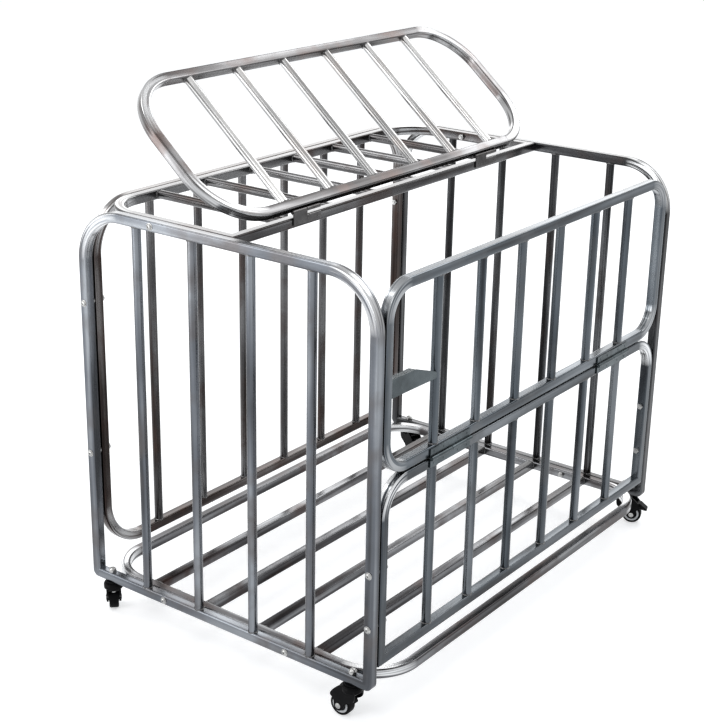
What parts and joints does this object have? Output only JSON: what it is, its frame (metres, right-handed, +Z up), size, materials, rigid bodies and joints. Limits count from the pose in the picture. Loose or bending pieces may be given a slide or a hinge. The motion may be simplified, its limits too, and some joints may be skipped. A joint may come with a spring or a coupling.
{
  "type": "ball cart",
  "caption": "Wheeled cage of welded steel tube for storing sports balls, with a hinged lid, a drop-down front door and swivel casters.",
  "frame": {"origin": "on the floor, in the middle of the cart's box", "axes": "+X along the cage towards its right end as seen from the door, +Y from the door to the back, +Z up"},
  "size_m": [1.235, 0.818, 1.2401],
  "materials": {
    "polished_tube": "polished stainless steel",
    "bright_hardware": "bright zinc plated",
    "black_plastic": "satin black",
    "wheel_rubber": "satin black"
  },
  "bodies": {
    "cage": {"back_panel": "polished_tube", "base_frame": "polished_tube", "bolt_left_back_panel_bottom": "bright_hardware", "bolt_left_back_panel_top": "bright_hardware", "bolt_left_base_back": "bright_hardware", "bolt_left_base_front": "bright_hardware", "bolt_left_lower_panel_bottom": "bright_hardware", "bolt_left_lower_panel_top": "bright_hardware", "bolt_left_top_grille": "bright_hardware", "bolt_right_back_panel_bottom": "bright_hardware", "bolt_right_back_panel_top": "bright_hardware", "bolt_right_base_back": "bright_hardware", "bolt_right_base_front": "bright_hardware", "bolt_right_lower_panel_bottom": "bright_hardware", "bolt_right_lower_panel_top": "bright_hardware", "bolt_right_top_grille": "bright_hardware", "caster_back_left_stem": "bright_hardware", "caster_back_right_stem": "bright_hardware", "caster_front_left_stem": "bright_hardware", "caster_front_right_stem": "bright_hardware", "door_hinge_left_lower_leaf": "polished_tube", "door_hinge_left_pin": "bright_hardware", "door_hinge_right_lower_leaf": "polished_tube", "door_hinge_right_pin": "bright_hardware", "end_panel_left": "polished_tube", "end_panel_right": "polished_tube", "lid_hinge_left_fixed_leaf": "polished_tube", "lid_hinge_left_pin": "bright_hardware", "lid_hinge_right_fixed_leaf": "polished_tube", "lid_hinge_right_pin": "bright_hardware", "lower_front_panel": "polished_tube", "top_grille": "polished_tube"},
    "door": {"front_door": "polished_tube", "door_hinge_left_upper_leaf": "polished_tube", "door_hinge_right_upper_leaf": "polished_tube"},
    "lid": {"lid": "polished_tube", "lid_hinge_left_moving_leaf": "polished_tube", "lid_hinge_right_moving_leaf": "polished_tube"},
    "lock": {"door_lock_bolt": "polished_tube"},
    "swivel_front_left": {"caster_front_left_fork": "black_plastic", "caster_front_left_axle": "bright_hardware"},
    "wheel_front_left": {"caster_front_left_wheel": "wheel_rubber"},
    "swivel_back_left": {"caster_back_left_fork": "black_plastic", "caster_back_left_axle": "bright_hardware"},
    "wheel_back_left": {"caster_back_left_wheel": "wheel_rubber"},
    "swivel_front_right": {"caster_front_right_fork": "black_plastic", "caster_front_right_axle": "bright_hardware"},
    "wheel_front_right": {"caster_front_right_wheel": "wheel_rubber"},
    "brake_front_right": {"caster_front_right_pedal": "black_plastic"},
    "swivel_back_right": {"caster_back_right_fork": "black_plastic", "caster_back_right_axle": "bright_hardware"},
    "wheel_back_right": {"caster_back_right_wheel": "wheel_rubber"},
    "brake_back_right": {"caster_back_right_pedal": "black_plastic"}
  },
  "joints": [
    {"name": "lid_hinge", "type": "hinge", "parent": "cage", "child": "lid", "pos_m": [-0.00445, -0.0114, 0.9755], "axis": [1, 0, 0], "range_deg": [-40.3, 139.7]},
    {"name": "door_hinge", "type": "hinge", "parent": "cage", "child": "door", "pos_m": [-0.00445, -0.396, 0.539], "axis": [1, 0, 0], "range_deg": [0, 180]},
    {"name": "door_lock_slide", "type": "slide", "parent": "door", "child": "lock", "axis": [-1, 0, 0], "range_m": [0, 0.024]},
    {"name": "swivel_front_left", "type": "hinge", "parent": "cage", "child": "swivel_front_left", "pos_m": [-0.59345, -0.337, 0.06], "axis": [0, 0, 1], "continuous": true},
    {"name": "wheel_spin_front_left", "type": "hinge", "parent": "swivel_front_left", "child": "wheel_front_left", "pos_m": [-0.59345, -0.313, 0.025], "axis": [-1, 0, 0], "continuous": true},
    {"name": "swivel_back_left", "type": "hinge", "parent": "cage", "child": "swivel_back_left", "pos_m": [-0.59345, 0.355, 0.06], "axis": [0, 0, 1], "continuous": true},
    {"name": "wheel_spin_back_left", "type": "hinge", "parent": "swivel_back_left", "child": "wheel_back_left", "pos_m": [-0.57708, 0.37255, 0.025], "axis": [-0.7314, 0.682, 0], "continuous": true},
    {"name": "swivel_front_right", "type": "hinge", "parent": "cage", "child": "swivel_front_right", "pos_m": [0.58455, -0.337, 0.06], "axis": [0, 0, 1], "continuous": true},
    {"name": "wheel_spin_front_right", "type": "hinge", "parent": "swivel_front_right", "child": "wheel_front_right", "pos_m": [0.59276, -0.35955, 0.025], "axis": [0.9397, 0.342, 0], "continuous": true},
    {"name": "brake_pedal_front_right", "type": "hinge", "parent": "swivel_front_right", "child": "brake_front_right", "pos_m": [0.59823, -0.37459, 0.053], "axis": [0.9397, 0.342, 0], "range_deg": [0, 10]},
    {"name": "swivel_back_right", "type": "hinge", "parent": "cage", "child": "swivel_back_right", "pos_m": [0.58455, 0.355, 0.06], "axis": [0, 0, 1], "continuous": true},
    {"name": "wheel_spin_back_right", "type": "hinge", "parent": "swivel_back_right", "child": "wheel_back_right", "pos_m": [0.57634, 0.33245, 0.025], "axis": [0.9397, -0.342, 0], "continuous": true},
    {"name": "brake_pedal_back_right", "type": "hinge", "parent": "swivel_back_right", "child": "brake_back_right", "pos_m": [0.57087, 0.31741, 0.053], "axis": [0.9397, -0.342, 0], "range_deg": [0, 10]}
  ]
}
